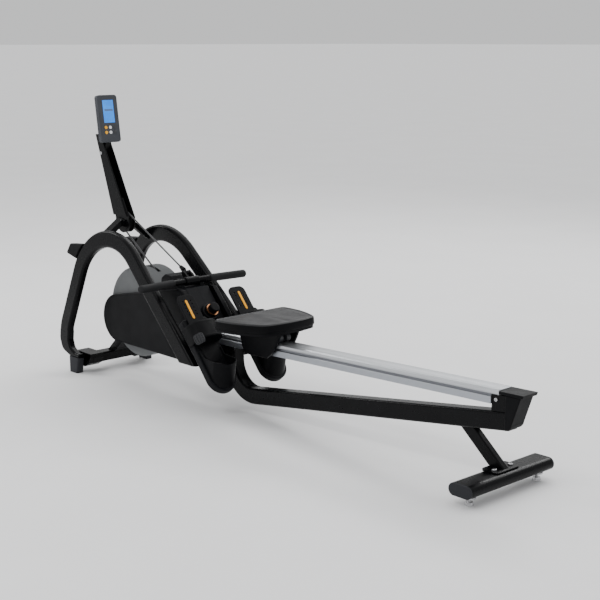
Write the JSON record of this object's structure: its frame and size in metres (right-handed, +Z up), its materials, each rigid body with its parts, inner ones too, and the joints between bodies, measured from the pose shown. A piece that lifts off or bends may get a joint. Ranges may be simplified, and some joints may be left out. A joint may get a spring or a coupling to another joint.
{
  "type": "rowing machine",
  "caption": "Flywheel rowing machine on a bent-tube frame: sliding seat on a metal rail, pull handle on a cord, adjustable heel rests, resistance dial and small console",
  "frame": {"origin": "Middle of the footprint, on the floor", "axes": "+X runs from the flywheel end to the rear stabiliser, +Y is the rower's right when facing the console, +Z is up"},
  "size_m": [2.1899, 0.4896, 1.0787],
  "materials": {
    "black_frame": "satin black powder coat",
    "black_plastic": "fine grained black",
    "dark_plastic": "grained dark grey",
    "grey_shell": "mid grey, fine grain",
    "rubber": "moulded rubber",
    "grip_rubber": "soft textured grip",
    "seat_skin": "moulded foam with a textured skin",
    "cord": "braided",
    "rail_aluminium": "anodised, lengthwise brushing",
    "steel": "turned",
    "cast_flywheel": "machined rim",
    "chrome": "bright zinc",
    "copper": "copper coloured ring",
    "screen": "lit blue display",
    "yellow_key": "moulded key",
    "white_key": "moulded key",
    "grey_key": "moulded"
  },
  "bodies": {
    "frame": {"arch_tube_left": "black_frame", "arch_tube_right": "black_frame", "bearings": "steel", "centre_housing": "dark_plastic", "cord_run": "cord", "dial_bezel": "dark_plastic", "drive_belt": "rubber", "drive_cord": "cord", "drive_shafts": "steel", "drum_shell": "grey_shell", "end_cap": "black_plastic", "fasteners": "chrome", "flywheel_plates": "black_frame", "foot_straps": "rubber", "footboard_left": "dark_plastic", "footboard_right": "dark_plastic", "footrest_frame": "black_frame", "front_crossmember": "black_frame", "front_feet": "rubber", "levellers": "chrome", "main_beam": "black_frame", "mast": "black_frame", "mast_yoke": "black_frame", "rail": "rail_aluminium", "rail_end_bracket": "black_frame", "rear_leg": "black_frame", "side_cover_left": "black_plastic", "side_cover_right": "black_plastic", "stabiliser_caps": "dark_plastic", "stabiliser_tube": "black_frame", "storage_bumpers": "rubber"},
    "flywheel_body": {"flywheel": "cast_flywheel"},
    "drive_pulley_body": {"drive_pulley": "black_plastic"},
    "spool_body": {"cord_spool": "black_plastic"},
    "caliper_body": {"magnet_caliper": "steel"},
    "dial_body": {"dial_knob": "black_plastic", "dial_ring": "copper"},
    "mast_pulley_body": {"mast_pulley": "black_plastic"},
    "handle_body": {"handle_bar": "black_frame", "handle_bracket": "black_frame", "handle_grip_left": "grip_rubber", "handle_grip_right": "grip_rubber"},
    "cord_end_body": {"cord_stop": "rubber"},
    "console_body": {"console_neck": "black_frame", "console_back": "dark_plastic", "console_front": "dark_plastic", "console_screen": "screen"},
    "seat_body": {"seat_pad": "seat_skin", "seat_base": "black_plastic", "seat_carriage": "black_plastic"},
    "rollers_front_body": {"seat_rollers_front": "grey_key"},
    "rollers_rear_body": {"seat_rollers_rear": "grey_key"},
    "slider_left_body": {"foot_slider_left": "black_plastic"},
    "slider_right_body": {"foot_slider_right": "black_plastic"},
    "key_yellow_upper_body": {"key_yellow_upper": "yellow_key"},
    "key_yellow_lower_body": {"key_yellow_lower": "yellow_key"},
    "key_white_upper_body": {"key_white_upper": "white_key"},
    "key_white_lower_body": {"key_white_lower": "white_key"},
    "key_grey_upper_body": {"key_grey_upper": "grey_key"},
    "key_grey_lower_body": {"key_grey_lower": "grey_key"}
  },
  "joints": [
    {"name": "seat_slide", "type": "slide", "parent": "frame", "child": "seat_body", "axis": [0.9993, 0, 0.0366], "range_m": [-0.04, 0.9]},
    {"name": "rollers_front_turn", "type": "hinge", "parent": "seat_body", "child": "rollers_front_body", "pos_m": [-0.06864, 0, 0.28965], "axis": [0, 1, 0], "continuous": true},
    {"name": "rollers_rear_turn", "type": "hinge", "parent": "seat_body", "child": "rollers_rear_body", "pos_m": [0.04728, 0, 0.2939], "axis": [0, 1, 0], "continuous": true},
    {"name": "handle_pull", "type": "slide", "parent": "frame", "child": "handle_body", "axis": [0.9744, 0, 0.225], "range_m": [0, 1.05], "stiffness_N_per_m": 15, "springref_m": -2, "deforming": ["cord_run"]},
    {"name": "cord_end_swing", "type": "hinge", "parent": "handle_body", "child": "cord_end_body", "pos_m": [-0.48005, 0, 0.44636], "axis": [0, -1, 0], "range_deg": [0, 29.43]},
    {"name": "mast_pulley_turn", "type": "hinge", "parent": "frame", "child": "mast_pulley_body", "pos_m": [-0.85705, 0, 0.601], "axis": [0, 1, 0], "continuous": true},
    {"name": "spool_turn", "type": "hinge", "parent": "frame", "child": "spool_body", "pos_m": [-0.50205, 0, 0.268], "axis": [0, -1, 0], "continuous": true},
    {"name": "flywheel_spin", "type": "hinge", "parent": "frame", "child": "flywheel_body", "pos_m": [-0.71205, 0, 0.27], "axis": [0, -1, 0], "continuous": true},
    {"name": "drive_pulley_turn", "type": "hinge", "parent": "frame", "child": "drive_pulley_body", "pos_m": [-0.50205, 0, 0.268], "axis": [0, -1, 0], "continuous": true},
    {"name": "resistance_dial", "type": "hinge", "parent": "frame", "child": "dial_body", "pos_m": [-0.3468, 0, 0.3163], "axis": [0.76, 0, 0.65], "range_deg": [0, 270]},
    {"name": "magnet_swing", "type": "hinge", "parent": "frame", "child": "caliper_body", "pos_m": [-0.73905, 0, 0.118], "axis": [0, 1, 0], "range_deg": [0, 12]},
    {"name": "console_tilt", "type": "hinge", "parent": "frame", "child": "console_body", "pos_m": [-0.98305, 0, 0.855], "axis": [0, 1, 0], "range_deg": [-6, 20]},
    {"name": "heel_slide_left", "type": "slide", "parent": "frame", "child": "slider_left_body", "axis": [-0.65, 0, 0.76], "range_m": [0, 0.06]},
    {"name": "heel_slide_right", "type": "slide", "parent": "frame", "child": "slider_right_body", "axis": [-0.65, 0, 0.76], "range_m": [0, 0.06]},
    {"name": "key_yellow_upper_press", "type": "slide", "parent": "console_body", "child": "key_yellow_upper_body", "axis": [-0.9898, 0, -0.1426], "range_m": [0, 0.0012], "stiffness_N_per_m": 600, "springref_m": -0.001},
    {"name": "key_yellow_lower_press", "type": "slide", "parent": "console_body", "child": "key_yellow_lower_body", "axis": [-0.9898, 0, -0.1426], "range_m": [0, 0.0012], "stiffness_N_per_m": 600, "springref_m": -0.001},
    {"name": "key_white_upper_press", "type": "slide", "parent": "console_body", "child": "key_white_upper_body", "axis": [-0.9898, 0, -0.1426], "range_m": [0, 0.0012], "stiffness_N_per_m": 600, "springref_m": -0.001},
    {"name": "key_white_lower_press", "type": "slide", "parent": "console_body", "child": "key_white_lower_body", "axis": [-0.9898, 0, -0.1426], "range_m": [0, 0.0012], "stiffness_N_per_m": 600, "springref_m": -0.001},
    {"name": "key_grey_upper_press", "type": "slide", "parent": "console_body", "child": "key_grey_upper_body", "axis": [-0.9898, 0, -0.1426], "range_m": [0, 0.0012], "stiffness_N_per_m": 600, "springref_m": -0.001},
    {"name": "key_grey_lower_press", "type": "slide", "parent": "console_body", "child": "key_grey_lower_body", "axis": [-0.9898, 0, -0.1426], "range_m": [0, 0.0012], "stiffness_N_per_m": 600, "springref_m": -0.001}
  ],
  "couplings": [
    {"joint": "rollers_front_turn", "follows": "seat_slide", "rad_per_m": 58.824},
    {"joint": "rollers_rear_turn", "follows": "seat_slide", "rad_per_m": 58.824},
    {"joint": "mast_pulley_turn", "follows": "handle_pull", "rad_per_m": 28.571},
    {"joint": "spool_turn", "follows": "handle_pull", "rad_per_m": 27.778},
    {"joint": "cord_end_swing", "follows": "handle_pull", "rad_per_m": 0.48427},
    {"joint": "drive_pulley_turn", "follows": "flywheel_spin", "ratio": 0.33333},
    {"joint": "magnet_swing", "follows": "resistance_dial", "ratio": 0.044444}
  ]
}
